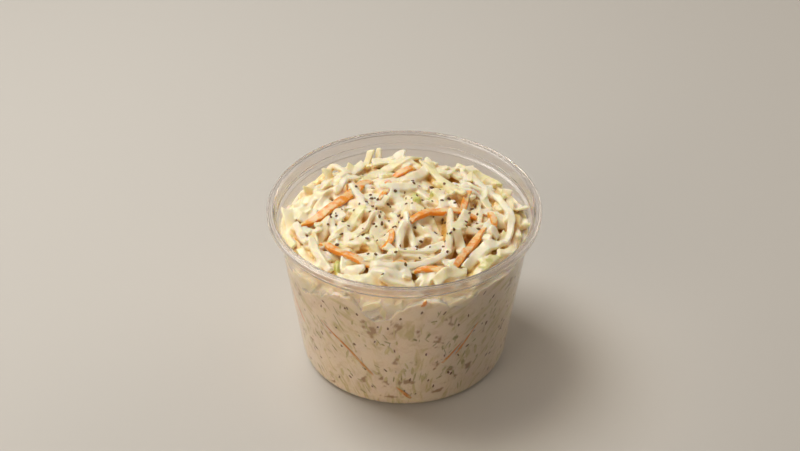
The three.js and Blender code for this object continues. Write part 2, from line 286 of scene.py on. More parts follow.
PACKED_SIDES = 480
PACKED_LEVELS = 90
ROLL = [(0.3, 0.4), (0.9, 0.6), (2, 0.3), (4.5, -1.5)]
packed_profile = [(0, WALL - PRESS)]
packed_profile += bend((BASE_RADIUS - FOOT_ROUND, FOOT_ROUND), FOOT_ROUND - WALL + PRESS, -90, SIDE_TURN, 8)
foot_points = (len(packed_profile) - 1) * PACKED_SIDES
packed_profile += [(1, 1)] * (PACKED_LEVELS + len(ROLL)) + [(0, CUP_HEIGHT / 2)]
packed_points, packed_faces = turned(packed_profile, PACKED_SIDES)
packed_turns = np.arange(PACKED_SIDES) * 2 * np.pi / PACKED_SIDES
shares = np.arange(1, PACKED_LEVELS + 1)[:, None] / PACKED_LEVELS
touch = touch_level(packed_turns)
heights = FOOT_ROUND + (touch - FOOT_ROUND) * shares
side_points = around(inside_radius(heights) + PRESS, packed_turns, heights)
# Patches of painted shade for the air pockets: a colour mask only, the face itself is not dented
uneven = swell(side_points, POCKET_MM / 3)
pocket_shade = swell(side_points * (1, 1, POCKET_STRETCH), POCKET_MM) + POCKET_RAGGED[0] * uneven
pocket_shade = smooth_step(pocket_shade, *POCKET_RISE)
for from_front, height, half_width, half_height in POCKETS:
    aside = turn_between(packed_turns, math.radians(from_front - 90)) * inside_radius(heights)
    away = np.hypot(aside / half_width, (heights - height) / half_height) + POCKET_RAGGED[1] * uneven
    pocket_shade = np.maximum(pocket_shade, 1 - smooth_step(away, *POCKET_EDGE))
side_end = foot_points + pocket_shade.size
packed_points[foot_points:side_end] = side_points.reshape(-1, 3)
for step, (inset, rise) in enumerate(ROLL):
    first = side_end + step * PACKED_SIDES
    ring = around(inside_radius(touch) + PRESS - inset, packed_turns, touch + rise)
    packed_points[first : first + PACKED_SIDES] = ring
packed = new_piece("packed_slaw", packed_points, packed_faces)
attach(packed, "root")
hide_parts("coleslaw")


def add_layer(piece, name, values):
    """Stores one number or vector for each point of a piece, for its material to read."""
    values = np.asarray(values, dtype=np.float32)
    kind, field = ("FLOAT_VECTOR", "vector") if values.ndim > 1 else ("FLOAT", "value")
    layer = piece.data.attributes.new(name, kind, "POINT")
    layer.data.foreach_set(field, values.ravel())


# The painted shade of the pockets, kept for the material
painted_pocket_shade = np.zeros(len(packed_points))
painted_pocket_shade[foot_points:side_end] = pocket_shade.ravel()
add_layer(packed, "wall", np.arange(len(packed_points)) < side_end)
add_layer(packed, "painted_shade", painted_pocket_shade)
add_layer(packed, "green", np.zeros(len(packed_points)))
# Shreds seen through the dressing at the wall: their grain slants as the slaw slid in
SLIDE_LEAN = 0.75
STRAND_STRETCH = 0.24
grain_turns = np.arctan2(packed_points[:, 1], packed_points[:, 0])
slant = np.tan(-SLIDE_LEAN * np.cos(grain_turns)) * packed_points[:, 2] / SHOULDER_RADIUS
strands = around(SHOULDER_RADIUS, grain_turns + slant, STRAND_STRETCH * packed_points[:, 2])
add_layer(packed, "grain", strands)

# The shreds on the heap: cabbage cut in strips a few millimetres wide, and julienned carrot, tossed in
# the dressing and piled on the mound. Each lies stiffly on those below it, and the last ones are as shown.
CROWN_DEPTH = 4.4
DOME_DROP = 4.5
HEAP_RADIUS = 46.5
BACK_INSET = 5
FALL_WIDTH = 6
BACK_STEEPNESS = 1.5
NOTCH = (-20, 43)
NOTCH_DEPTH = 7
NOTCH_SPREAD = 8
LUMP = 0.8
LUMP_SPACING = 5
CELL = 0.6
CELLS = 188
HEADSPACE_REACH = 44.6
HEADSPACE_MIDDLE = 1.66
HEADSPACE_ANGLE = 0.6
SINK = 0.75
SLACK = 0.006
STATION_MM = 0.5
# Places across a shred that rest on what is under it, as shares of its width
UNDER = np.linspace(-0.45, 0.45, 9)
RAISE = 0.35
LIFT_CURVE = 5
ROLL_SHARE = 0.6
ROLL_MOST = 0.6
GOLDEN_ANGLE = math.pi * (3 - math.sqrt(5))


def heap_height(x, y):
    """Top of the bare mound: a low dome that falls away to the level beside the wall, with a notch."""
    angle = np.arctan2(y, x)
    radius = np.hypot(x, y)
    shoulder = HEAP_RADIUS - BACK_INSET * backness(angle)
    fall = smooth_step(radius, shoulder, shoulder + FALL_WIDTH - BACK_STEEPNESS * backness(angle))
    lump = LUMP * np.sin(x / LUMP_SPACING) * np.cos(y / LUMP_SPACING + 1)
    dome = CUP_HEIGHT - CROWN_DEPTH - DOME_DROP * (radius / HEAP_RADIUS) ** 2 + lump
    notch = np.exp(-((x - NOTCH[0]) ** 2 + (y - NOTCH[1]) ** 2) / (2 * NOTCH_SPREAD**2))
    return dome + (edge_level(angle) - dome) * fall - NOTCH_DEPTH * notch


spots = (np.arange(CELLS) + 0.5 - CELLS / 2) * CELL
surface = heap_height(*np.meshgrid(spots, spots))


def cells(x, y):
    """Row and column of the heap's cell at a place."""
    row = np.clip(np.floor(y / CELL + CELLS / 2).astype(int), 0, CELLS - 1)
    column = np.clip(np.floor(x / CELL + CELLS / 2).astype(int), 0, CELLS - 1)
    return row, column


def reach(plan, width):
    """How far from the axis the middle of a shred may lie."""
    wall = inside_radius(CUP_HEIGHT - EDGE_DEPTH - BACK_DIP)
    back = np.abs(np.arctan2(plan[:, 1], plan[:, 0]) - HEADSPACE_MIDDLE) < HEADSPACE_ANGLE
    return np.where(back, HEADSPACE_REACH, wall) - width / 2


def evened(values, times):
    """Values along a line, each drawn towards its neighbours a number of times."""
    for _ in range(times):
        values[1:-1] = (values[:-2] + 2 * values[1:-1] + values[2:]) / 4
    return values


def bridged(ground):
    """Height of a stiff strip over the ground: it spans the hollows and sags only a little into them."""
    steps = np.arange(len(ground))
    load = ground - SLACK * steps**2
    rests = []
    for step in steps:
        while len(rests) > 1 and (load[rests[-1]] - load[rests[-2]]) * (step - rests[-1]) <= (
            load[step] - load[rests[-1]]
        ) * (rests[-1] - rests[-2]):
            rests.pop()
        rests.append(step)
    return evened(np.interp(steps, rests, load[rests]) + SLACK * steps**2, 10)


def lay(start, via, end, width, thickness, lift=(0, 0)):
    """Lays a shred on the heap, its ends lifted, and raises the heap there. Returns its line and roll."""
    start, via, end = np.array(start), np.array(via), np.array(end)
    length = np.linalg.norm(via - start) + np.linalg.norm(end - via)
    share = np.linspace(0, 1, max(10, math.ceil(length / STATION_MM)))[:, None]
    corner = 2 * via - (start + end) / 2
    plan = (1 - share) ** 2 * start + 2 * share * (1 - share) * corner + share**2 * end
    radius = np.maximum(np.linalg.norm(plan, axis=1), 1e-6)
    plan = plan * np.minimum(1, reach(plan, width) / radius)[:, None]
    along = np.gradient(plan, axis=0)
    along /= np.maximum(np.linalg.norm(along, axis=1), 1e-6)[:, None]
    across = np.stack([-along[:, 1], along[:, 0]], -1)
    under = plan[:, None] + across[:, None] * (UNDER * width)[:, None]
    heights = surface[cells(under[..., 0], under[..., 1])]
    middle = bridged((heights.mean(axis=1) + heights.max(axis=1)) / 2) + thickness / 2 - SINK
    middle += lift[0] * (1 - share[:, 0]) ** LIFT_CURVE + lift[1] * share[:, 0] ** LIFT_CURVE
    slope = (heights[:, -1] - heights[:, 0]) / ((UNDER[-1] - UNDER[0]) * width)
    roll = evened(np.arctan(ROLL_SHARE * slope), 10)
    np.maximum.at(surface, cells(under[..., 0], under[..., 1]), (middle + RAISE * thickness)[:, None])
    return np.column_stack([plan, middle]), np.clip(roll, -ROLL_MOST, ROLL_MOST)


SECTION = 10
KNOT_MM = 3
BEVEL = 0.3
CURL = 0.12
SLANT = 0.5
END_CURVE = 8
FULL_TURN = 6.28


def knotty(count, amount):
    """Uneven factors along a strip, as a knife and the leaf's own ribs leave it."""
    knots = max(3, round(count * STATION_MM / KNOT_MM))
    uneven = np.interp(np.linspace(0, 1, count), np.linspace(0, 1, knots), draws.normal(0, amount, knots))
    return np.clip(1 + evened(uneven, 4), 0.6, 1.4)[:, None]


def strip(line, up, roll, width, thickness, twist=0.4, bluntness=0.25, uneven=0.07):
    """Points and faces of a cut strip along a line: flat faces, narrow bevels, and ends cut at a slant."""
    phase, turns, start, end, curl = draws.uniform((0, 0.2, -1, -1, -1), (FULL_TURN, 0.8, 1, 1, 1))
    narrow = draws.uniform(0, bluntness, 2)
    share = np.linspace(0, 1, len(line))
    along = np.gradient(line, axis=0)
    along /= np.linalg.norm(along, axis=1)[:, None]
    side = np.cross(np.broadcast_to(up, line.shape), along)
    side /= np.linalg.norm(side, axis=1)[:, None]
    over = np.cross(along, side)
    roll = (roll + twist * np.sin(2 * np.pi * share * turns + phase))[:, None]
    side, over = side * np.cos(roll) + over * np.sin(roll), over * np.cos(roll) - side * np.sin(roll)
    near, far = (1 - share) ** END_CURVE, share**END_CURVE
    ends = (1 - narrow[0] * near - narrow[1] * far)[:, None]
    left = width / 2 * ends * knotty(len(line), uneven)
    right = width / 2 * ends * knotty(len(line), uneven)
    top = thickness / 2 * ends * knotty(len(line), uneven)
    bevel = BEVEL * top
    flank = top - bevel
    wide = np.hstack([right - bevel, 0 * bevel, bevel - left, -left, -left])
    wide = np.hstack([wide, bevel - left, 0 * bevel, right - bevel, right, right])
    high = np.hstack([top, top, top, flank, -flank, -top, -top, -top, -flank, flank])
    high = high + CURL * thickness * curl * (2 * wide / width) ** 2
    shear = wide * SLANT * (start * near + end * far)[:, None]
    points = (
        line[:, None]
        + side[:, None] * wide[..., None]
        + over[:, None] * high[..., None]
        + along[:, None] * shear[..., None]
    )
    here = np.arange(SECTION)
    after = (here + 1) % SECTION
    faces = []
    for first in range(0, (len(line) - 1) * SECTION, SECTION):
        following = first + SECTION
        faces += list(zip(first + here, first + after, following + after, following + here))
    faces += [tuple(here[::-1]), tuple((len(line) - 1) * SECTION + here)]
    return points.reshape(-1, 3), faces


def joined(parts):
    """Several lots of points and faces as one."""
    points, faces, first = [], [], 0
    for some_points, some_faces in parts:
        points.append(some_points)
        faces += [tuple(int(corner) + first for corner in face) for face in some_faces]
        first += len(some_points)
    return np.vstack(points), faces


SCATTER_RADIUS = HEAP_RADIUS + 2.5
LOOSE_RADIUS = 26
WALL_STRAY = 0.8
BOW = 0.18


def scattered(index, count, lengths, widths):
    """One of many shreds spread over the heap. Near the wall they lie round it, in the middle any way."""
    radius = SCATTER_RADIUS * math.sqrt((index + 0.5) / count)
    angle = index * GOLDEN_ANGLE
    stray = draws.uniform(-1, 1) * (np.pi / 2 if radius < LOOSE_RADIUS else WALL_STRAY)
    heading = angle + np.pi / 2 + stray
    length = draws.uniform(*lengths)
    width = draws.uniform(*widths)
    bow = length * draws.uniform(-BOW, BOW)
    middle = np.array([radius * math.cos(angle), radius * math.sin(angle)])
    way = np.array([math.cos(heading), math.sin(heading)])
    via = middle + np.array([-way[1], way[0]]) * bow
    return middle - way * length / 2, via, middle + way * length / 2, width


# Of the shreds on top, each row gives the two ends and the middle in plan, the width, and how green it is
TOP_CABBAGE = [
    ((-18.5, 24), (-8.5, 32), (7, 39.5), 4.6, 0.5),
    ((-28, 19), (-24, 24), (-19.5, 29), 4.2, 0.2),
    ((-44, 10), (-37, 11), (-30, 15), 4.2, 0.3),
    ((-35.8, 18.8), (-33.7, 22.7), (-32.2, 26.8), 3.2, 0.15),
    ((-30.3, 11.7), (-27.8, 15.3), (-25.3, 20), 3, 0.15),
    ((-48.6, -1.9), (-44.4, 1.3), (-40.2, 3.1), 4.4, 0.35),
    ((-23.1, 17), (-20.8, 12.5), (-18.1, 6.6), 3.4, 0.05),
    ((-1.8, 19), (4.7, 23.5), (10.5, 30), 4.6, 0.25),
    ((-10.5, 12.8), (-3, 13.4), (6, 15.5), 4, 0.05),
    ((-10, 0), (-16, -12), (-23, -19.5), 3.8, 0.2),
    ((4.1, 10.8), (5, 6.4), (6.2, 2), 2.4, 1),
    ((11.7, 8.9), (14.1, 13.4), (17, 16.7), 3.4, 0.95),
    ((16.9, 20.9), (19.3, 14.8), (21.4, 9.4), 3, 0.6),
    ((16, 12.4), (16.1, 4.9), (16.2, -1.7), 3.2, 0.1),
    ((26.5, -3), (23.5, -12), (20.5, -20), 4.4, 0.3),
    ((7, 36), (16.9, 20.7), (26.5, 9), 3.2, 0.6),
    ((32.3, 24.4), (45, 2), (41, -20.5), 3, 0.05),
    ((-31.9, -20.2), (-28.8, -17), (-25.2, -13.9), 3.2, 0.4),
    ((-23.9, -11.3), (-23.9, -17), (-23.9, -22.9), 3.2, 0.1),
    ((-23.6, -23.8), (-18.4, -24.4), (-13.3, -24.8), 4.2, 0.1),
    ((-13.1, -34.7), (-9.5, -33.7), (-5, -32.8), 3.8, 0.05),
    ((-27.4, -31.2), (-27.6, -36.6), (-26.1, -41.4), 2.2, 1),
    ((-24.9, -38.5), (-20.8, -39.3), (-16.1, -40.2), 4.6, 0.1),
    ((-26, -46.2), (-19.5, -45.5), (-12.6, -45.2), 3.8, 0.2),
    ((35.9, -13.1), (37.6, -14.1), (39.2, -15.7), 4, 0.05),
    ((21.5, -19.8), (22.8, -23), (23.4, -25.7), 3.8, 0.1),
    ((43.3, -17.7), (34.6, -23.9), (24.8, -35.8), 5.2, 0.1),
    ((25.5, -38), (18.5, -41.4), (12, -46), 4.8, 0.45),
    ((45, -22), (37.3, -29.8), (29.2, -40), 4.4, 0.8),
    ((38.7, -27.4), (42.9, -25.4), (47.1, -22.6), 3.6, 0.3),
    ((27.4, -44.7), (29.1, -41.3), (30.9, -37.6), 3.4, 0.45),
    ((5.5, -49.7), (8.8, -45.6), (12, -42), 3, 0.2),
    ((-28, -42), (-19, -44.5), (-9, -46.5), 5, 0.25),
    ((-9, -46.5), (-3, -47.5), (4, -47), 4.6, 0.15),
    ((-13, -41.5), (-6, -43.5), (2, -44.5), 5.2, 0.1),
    ((1.2, -46), (1, -43), (0.8, -40.2), 3.4, 0.1),
    ((-8, -28), (4, -27.5), (17, -23.5), 3.8, 0.1),
    ((16.7, -31.6), (18.3, -34.8), (19.8, -38.5), 4.2, 0.05),
    ((19.5, -3), (19, -16), (18, -28), 3.2, 0.1),
    ((19, -28), (2.3, -38), (-13.5, -40), 3.2, 0.05),
    ((-39, -18.5), (-35.4, -29.8), (-30, -39), 3.6, 0.15),
    ((-43.3, -22.5), (-39.2, -30.5), (-34, -37), 3.2, 0.2),
    ((-46, -6), (-43.6, -14.2), (-40.5, -21.5), 3.4, 0.1),
    ((-50, 9), (-50, -7), (-46.5, -21), 3.8, 0.3),
]
TOP_CARROTS = [
    ((-45, -8.5), (-29.6, 4), (-15, 22.5), 3.9),
    ((2.5, -12.8), (14, -4), (30.5, -2.7), 3.1),
    ((34, -12), (27.1, -24.8), (20.5, -36), 3.3),
    ((4, -40), (11.3, -39.4), (17.5, -42), 3.8),
    ((-35, -19.8), (-24.3, -30.6), (-13, -40), 3.4),
    ((-4.5, 25.6), (0, 28.4), (5, 31), 2.8),
    ((36.5, 0.5), (37.5, -5), (38.1, -10.5), 2.8),
    ((-47.6, -11.7), (-45.8, -16.5), (-43.3, -21.6), 2.4),
    ((-41.8, -26.8), (-41, -28.5), (-40, -30.7), 2.4),
    ((-5, -38.1), (-2, -37), (0.7, -35.8), 2.4),
]
# Shreds that lean out at the heap's edge by foot and tip, their heights from the rim, and width
LEANING_CABBAGE = [
    ((-18.5, 42, -13), (-15, 49.8, -5.4), 3.4),
    ((-12.5, 43, -13), (-11.2, 50.7, -4.6), 3),
    ((-45.5, -17, -11), (-50.2, 3, -3.8), 5),
    ((-49, 6, -8), (-40.5, 11.5, -5), 4.6),
    ((-40.5, 15, -10), (-41.8, 18.5, -3.4), 5),
    ((-32, 29, -10), (-34.5, 33.4, -4.2), 4.2),
    ((-28, 27, -7.5), (-18, 38, -4.3), 4.4),
    ((43, 14, -11), (45, 18, -4.6), 4.6),
    ((49.5, 12, -11), (51, 4, -4.6), 5),
    ((51, -2, -12), (52, -6.5, -5), 4.6),
    ((-33, 36, -13.4), (-21, 44.5, -12.6), 4.4),
    ((-19, 47, -13.4), (-6, 49.5, -12.8), 4.2),
    ((-9, 46.5, -13.2), (6, 48.5, -12.6), 4.4),
    ((7, 49.5, -13.4), (20, 45.5, -12.4), 4.2),
]
LEANING_THICKNESS = 1.3
LEANING_GREEN = 0.25
CABBAGE_COUNT = 130
CABBAGE_LENGTH = (10, 28)
CABBAGE_WIDTH = (2, 5.4)
CABBAGE_THICKNESS = (1.1, 2.6)
CABBAGE_GREEN = (0.05, 0.2, 0.45, 0.7)
GREEN_SHARE = (0.45, 0.3, 0.2, 0.05)
CABBAGE_PER_CARROT = 14
FIRST_CARROT = 4
CARROT_LENGTH = (8, 18)
CARROT_WIDTH = (2, 3)
CARROT_THICKNESS = 2.1
CARROT_DIP = -0.8
CARROT_RISE = 0.5
CHOP_COUNT = 80
CHOP_LENGTH = (3.5, 9)
CHOP_WIDTH = (2.4, 4.8)
CHOP_SPREAD = 49
CHOP_CROWDING = 0.3
CHOP_TILT = 0.5
CHOP_GREEN = (0, 0.15, 0.5)
BLOB_COUNT = 60
BLOB_SPREAD = 38
BLOB_CROWDING = 0.6
BLOB_HALF = ((2.5, 1.6, 0.7), (5, 3, 1.2))
BLOB_TILT = 0.35
BLOB_POINT = 0.45
LIFT = 1.8
LIFT_SHARE = (-0.4, 1)
SIDE_COUNT = 240
SIDE_LENGTH = (6, 14)
# Lean, drift, green and inset of the shreds in the side, from the least to the most
SIDE_SET = ((0, -1.3, 0, -0.7), (0.12, 1.3, 0.5, 1.4))
BACK_RISE = 8
BACK_FOOT = 46.1
BACK_SLOPE = 0.55
cabbage, carrots, blobs, tinted = [], [], [], []
UP = (0, 0, 1)


def keep_tint(line, green, width):
    """Notes how green the slaw is along a shred."""
    tinted.extend((point, green, width / 2) for point in line[::2])


def add_cabbage(start, via, end, width, green):
    """Lays one cabbage shred, and keeps its strip and its tint."""
    thickness = draws.uniform(*CABBAGE_THICKNESS)
    line, roll = lay(start, via, end, width, thickness, LIFT * draws.uniform(*LIFT_SHARE, 2))
    cabbage.append(strip(line, UP, roll, width, thickness, twist=0.45, bluntness=0.5))
    keep_tint(line, green, width)


def add_carrot(start, via, end, width):
    """Lays one carrot shred, and keeps its strip."""
    line, roll = lay(start, via, end, width, CARROT_THICKNESS, (CARROT_DIP, CARROT_DIP))
    line[:, 2] += CARROT_RISE
    shred = strip(line, UP, 0.5 * roll, width, CARROT_THICKNESS, twist=0.25, bluntness=0.6, uneven=0.1)
    carrots.append(shred)


def add_chop(index):
    """Drops one short cut of cabbage on the heap, tipped at random."""
    angle = index * GOLDEN_ANGLE + 2
    heading, pitch, roll = draws.uniform((0, -CHOP_TILT, -CHOP_TILT), (FULL_TURN, CHOP_TILT, CHOP_TILT))
    length, width = draws.uniform(*CHOP_LENGTH), draws.uniform(*CHOP_WIDTH)
    thickness = draws.uniform(*CABBAGE_THICKNESS)
    radius = CHOP_SPREAD * ((index + 0.5) / CHOP_COUNT) ** CHOP_CROWDING
    radius = min(radius, reach(around(1, np.array([angle]), 0), length)[0])
    reachout = np.linspace(-0.5, 0.5, max(6, math.ceil(length / STATION_MM)))[:, None] * length
    way = np.array([math.cos(heading), math.sin(heading), math.tan(pitch)])
    line = np.array([radius * math.cos(angle), radius * math.sin(angle), 0]) + reachout * way
    foot = cells(line[:, 0], line[:, 1])
    line[:, 2] += surface[foot].mean() + 0.1 * thickness
    np.maximum.at(surface, foot, line[:, 2] + 0.3 * thickness)
    rolls = np.full(len(line), roll)
    cabbage.append(strip(line, UP, rolls, width, thickness, twist=0.2, bluntness=0.7))
    keep_tint(line, draws.choice(CHOP_GREEN), width)


def add_blob(index):
    """Drops one drop of dressing on the heap, pointed at one end."""
    radius = BLOB_SPREAD * ((index + 0.5) / BLOB_COUNT) ** BLOB_CROWDING
    angle = index * GOLDEN_ANGLE + 1
    place = np.array([radius * math.cos(angle), radius * math.sin(angle), 0])
    half = draws.uniform(*BLOB_HALF)
    turn = Matrix.Rotation(draws.uniform(0, FULL_TURN), 3, "Z")
    turn = turn @ Matrix.Rotation(draws.uniform(-BLOB_TILT, BLOB_TILT), 3, "Y")
    points, faces = turned([(np.sin(t), -np.cos(t)) for t in np.linspace(0, np.pi, 11)], 14)
    points[:, 1:] *= (1 - BLOB_POINT * points[:, :1]) / 1.2
    points = points * half @ np.array(turn).T + place
    foot = cells(points[:, 0], points[:, 1])
    points[:, 2] += surface[foot].mean()
    np.maximum.at(surface, foot, points[:, 2] - 0.2)
    blobs.append((points, faces))


def add_side_shred(index):
    """Sets one short shred in the side of the heap, above where it touches the wall, or down its back."""
    angle = index * GOLDEN_ANGLE + 0.4
    lean, drift, green, inset = draws.uniform(*SIDE_SET)
    length = draws.uniform(*SIDE_LENGTH)
    width = draws.uniform(*CABBAGE_WIDTH)
    thickness = draws.uniform(*CABBAGE_THICKNESS)
    share = np.linspace(0, 1, math.ceil(length / STATION_MM))
    height = draws.uniform(touch_level(angle) - 3, edge_level(angle) - 2) + length * share * math.cos(drift)
    height -= max(0, height[-1] + width / 2 - edge_level(angle))
    radius = inside_radius(height) - inset - thickness / 2 - length * share * math.sin(lean)
    if abs(turn_between(angle, HEADSPACE_MIDDLE)) < HEADSPACE_ANGLE + 0.1:
        height += BACK_RISE
        radius = BACK_FOOT - thickness / 2 - BACK_SLOPE * (height - CUP_HEIGHT + EDGE_DEPTH + BACK_DIP)
    bearing = angle + length * share * math.sin(drift) / radius
    line = around(radius, bearing, height)
    outward, rolls = around(1, bearing, 0), np.zeros(len(line))
    cabbage.append(strip(line, outward, rolls, width, thickness, twist=0.3, bluntness=0.6))
    keep_tint(line, green, width)


for index in range(CABBAGE_COUNT):
    green = draws.choice(CABBAGE_GREEN, p=GREEN_SHARE)
    add_cabbage(*scattered(index, CABBAGE_COUNT, CABBAGE_LENGTH, CABBAGE_WIDTH), green)
    if index % CABBAGE_PER_CARROT == FIRST_CARROT:
        add_carrot(*scattered(CABBAGE_COUNT - index, CABBAGE_COUNT, CARROT_LENGTH, CARROT_WIDTH))
for index in range(BLOB_COUNT):
    add_blob(index)
for index in range(CHOP_COUNT):
    add_chop(index)
for shred in TOP_CARROTS:
    add_carrot(*shred)
for shred in TOP_CABBAGE:
    add_cabbage(*shred)
for foot, tip, width in LEANING_CABBAGE:
    line = np.linspace(foot, tip, 20) + (0, 0, CUP_HEIGHT)
    cabbage.append(strip(line, UP, np.zeros(20), width, LEANING_THICKNESS, twist=0.2, bluntness=0.15))
    keep_tint(line, LEANING_GREEN, width)
for index in range(SIDE_COUNT):
    add_side_shred(index)

# The dressed slaw: the mound under the shreds, the cabbage and the dressing as one skin, because the
# dressing fills every gap. It fillets the creases, and rounds the crests most in the middle of the heap.
THICK_FILL = 0.6
THIN_FILL = 3
FILL_SPREAD = 8
BED_SIDES = 256
BED_RINGS = 40
BED_INSET = 2.2
BED_BOTTOM = CUP_HEIGHT - 36
VOXEL_MM = 0.3
THIN_COAT = 0.25
THICK_COAT = 1
THICK_RADIUS = 20
THIN_RADIUS = 38
ROUNDING_STEPS = 11
CREASE_ROUNDING = 0.6
CREST_ROUNDING = 0.4
SKIN_LUMP = 0.12
SKIN_LUMP_MM = 5
SLAW_TRIANGLES = 190000
SKIN_INSET = 0.05


def spread(grid, times):
    """A grid of heights, each cell drawn towards its neighbours a number of times."""
    grid = grid.copy()
    for _ in range(times):
        grid[1:-1, 1:-1] = (
            4 * grid[1:-1, 1:-1] + grid[:-2, 1:-1] + grid[2:, 1:-1] + grid[1:-1, :-2] + grid[1:-1, 2:]
        ) / 8
    return grid


fill_depth = smooth_step(np.hypot(*np.meshgrid(spots, spots)), THICK_RADIUS, THIN_RADIUS)
filled = spread(surface, FILL_SPREAD) - THICK_FILL + (THICK_FILL - THIN_FILL) * fill_depth
bed_profile = [(0, BED_BOTTOM), (1, 1)] + [(1, 1)] * BED_RINGS + [(0, filled[CELLS // 2, CELLS // 2])]
bed_points, bed_faces = turned(bed_profile, BED_SIDES)
bed_turns = np.arange(BED_SIDES) * 2 * np.pi / BED_SIDES
bed_points[:BED_SIDES] = around(inside_radius(BED_BOTTOM) - BED_INSET, bed_turns, BED_BOTTOM)
bed_rim = inside_radius(edge_level(bed_turns)) - BED_INSET
for index in range(BED_RINGS):
    ring = around((1 - index / BED_RINGS) * bed_rim, bed_turns, 0.0)
    ring[:, 2] = np.maximum(heap_height(ring[:, 0], ring[:, 1]), filled[cells(ring[:, 0], ring[:, 1])])
    bed_points[(index + 1) * BED_SIDES : (index + 2) * BED_SIDES] = ring
slaw = new_piece("dressed_slaw", *joined([(bed_points, bed_faces)] + cabbage + blobs))


def applied(piece, kind, **settings):
    """Applies one modifier to a piece."""
    modifier = piece.modifiers.new(kind.title(), kind)
    for name, value in settings.items():
        setattr(modifier, name, value)
    shaped = bpy.data.meshes.new_from_object(piece.evaluated_get(bpy.context.evaluated_depsgraph_get()))
    piece.modifiers.clear()
    old = piece.data
    piece.data = shaped
    shaped.name = old.name
    bpy.data.meshes.remove(old)


def mesh_points(piece):
    """Points of a piece in millimetres."""
    points = np.empty(len(piece.data.vertices) * 3)
    piece.data.vertices.foreach_get("co", points)
    return points.reshape(-1, 3) / MM


applied(slaw, "REMESH", mode="VOXEL", voxel_size=VOXEL_MM * MM)
slaw_points = mesh_points(slaw)
edges = np.empty(len(slaw.data.edges) * 2, dtype=np.int32)
slaw.data.edges.foreach_get("vertices", edges)
edges = edges.reshape(-1, 2)
neighbours = np.bincount(edges.ravel(), minlength=len(slaw_points))[:, None]
outward = np.empty(len(slaw_points) * 3, dtype=np.float32)
slaw.data.vertex_normals.foreach_get("vector", outward)
outward = outward.reshape(-1, 3)
radius = np.hypot(slaw_points[:, 0], slaw_points[:, 1])
coat = THICK_COAT + (THIN_COAT - THICK_COAT) * smooth_step(radius, THICK_RADIUS, THIN_RADIUS)
for _ in range(ROUNDING_STEPS):
    pulled = np.zeros_like(slaw_points)
    for axis in range(3):
        pulled[:, axis] = np.bincount(edges[:, 0], slaw_points[edges[:, 1], axis], len(slaw_points))
        pulled[:, axis] += np.bincount(edges[:, 1], slaw_points[edges[:, 0], axis], len(slaw_points))
    shift = pulled / neighbours - slaw_points
    crease = (shift * outward).sum(axis=1) > 0
    share = np.where(crease, CREASE_ROUNDING * np.sqrt(coat), CREST_ROUNDING * coat)
    slaw_points += share[:, None] * shift
slaw_points += SKIN_LUMP * swell(slaw_points, SKIN_LUMP_MM)[:, None] * outward
slaw.data.vertices.foreach_set("co", (slaw_points * MM).ravel())
slaw.data.update()
applied(slaw, "DECIMATE", ratio=SLAW_TRIANGLES / (2 * len(slaw.data.polygons)))
slaw_points = mesh_points(slaw)
radius = np.hypot(slaw_points[:, 0], slaw_points[:, 1])
wall = inside_radius(slaw_points[:, 2]) + PRESS - SKIN_INSET
slaw_points[:, :2] *= np.minimum(1, wall / np.maximum(radius, 1e-6))[:, None]
slaw.data.vertices.foreach_set("co", (slaw_points * MM).ravel())
slaw.data.update()
slaw.data.shade_smooth()
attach(slaw, "root")
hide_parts("coleslaw")

# Each point of the skin takes the tint of the shred under it, and a painted shade from how far it lies down
# in a gap
GAP_REACH = 3
GAP_SPREAD = 10
GAP_START = 1
GAP_MM = 3.2
GAP_FADE = (44, 49)
SIDE_GAP_MM = 5
SIDE_GAP = 0.5
SIDE_SKIN = 0.8
TINT_REACH = 0.8
tint_tree = kdtree.KDTree(len(tinted))
for index, (point, green, half) in enumerate(tinted):
    tint_tree.insert(point, index)
tint_tree.balance()
green_tint = np.zeros(len(slaw_points))
for index in np.flatnonzero(slaw_points[:, 2] > CUP_HEIGHT - 2 * EDGE_DEPTH):
    found, distance = tint_tree.find(slaw_points[index])[1:]
    if distance < tinted[found][2] + TINT_REACH:
        green_tint[index] = tinted[found][1]
skin = np.full((CELLS, CELLS), -np.inf)
np.maximum.at(skin, cells(slaw_points[:, 0], slaw_points[:, 1]), slaw_points[:, 2])
skin = np.where(np.isfinite(skin), skin, surface)
for _ in range(GAP_REACH):
    beside = [skin[:-2, 1:-1], skin[2:, 1:-1], skin[1:-1, :-2], skin[1:-1, 2:]]
    skin[1:-1, 1:-1] = np.maximum.reduce([skin[1:-1, 1:-1]] + beside)
skin = spread(skin, GAP_SPREAD)
gap_depth = skin[cells(slaw_points[:, 0], slaw_points[:, 1])] - slaw_points[:, 2]
side_depth = GAP_START + GAP_MM * np.minimum((wall - radius - SIDE_SKIN) / SIDE_GAP_MM, SIDE_GAP)
inset = BACK_INSET * backness(np.arctan2(slaw_points[:, 1], slaw_points[:, 0]))
gap_depth += (np.minimum(side_depth, gap_depth) - gap_depth) * smooth_step(radius + inset, *GAP_FADE)
add_layer(slaw, "wall", np.zeros(len(slaw_points)))
# The painted shade of the gaps: warmer and darker the deeper a point lies
add_layer(slaw, "painted_shade", np.clip((gap_depth - GAP_START) / GAP_MM, 0, 1))
add_layer(slaw, "green", green_tint)
